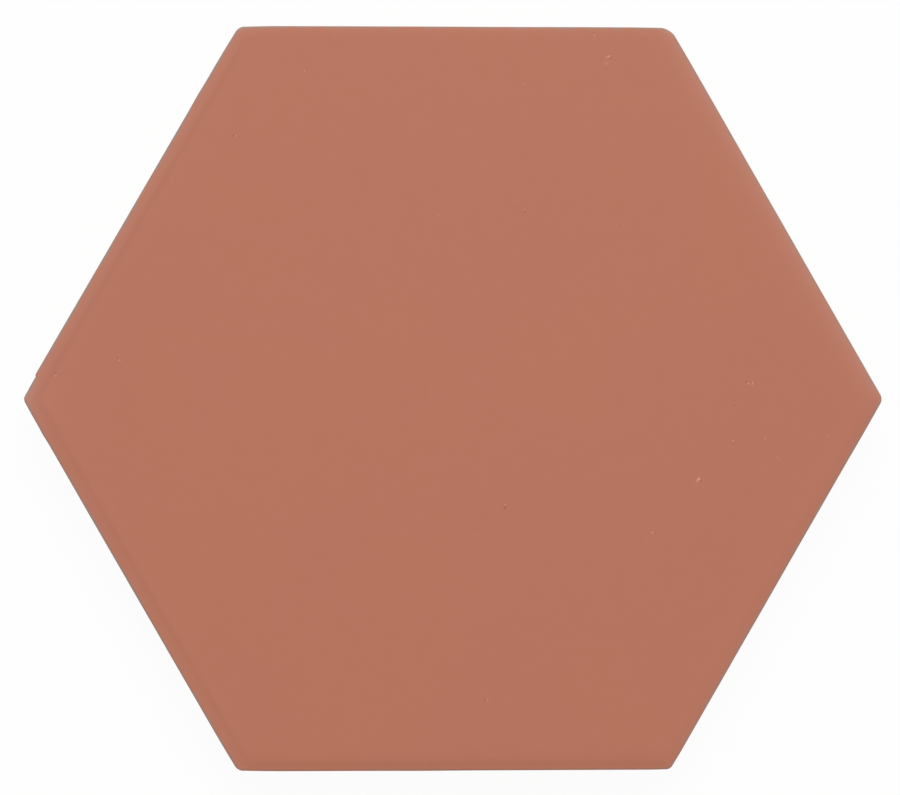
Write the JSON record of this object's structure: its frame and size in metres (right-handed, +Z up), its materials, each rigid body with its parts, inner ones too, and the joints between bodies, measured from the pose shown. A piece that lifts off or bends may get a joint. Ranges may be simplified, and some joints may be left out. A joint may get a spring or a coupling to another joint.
{
  "type": "hexagonal ceramic tile",
  "caption": "Flat hexagonal ceramic tile with a matt terracotta-coloured glaze, a softly rounded face edge and a ribbed back for bedding.",
  "frame": {"origin": "centre of the tile, on the plane of the back's crests that it rests on", "axes": "+X from corner to corner, +Y square to a joint face, +Z up, out of the glazed face"},
  "size_m": [0.1162, 0.101, 0.009],
  "materials": {
    "glazed_ceramic_body": "matte"
  },
  "bodies": {
    "root": {"hexagon_tile": "glazed_ceramic_body"}
  },
  "joints": []
}
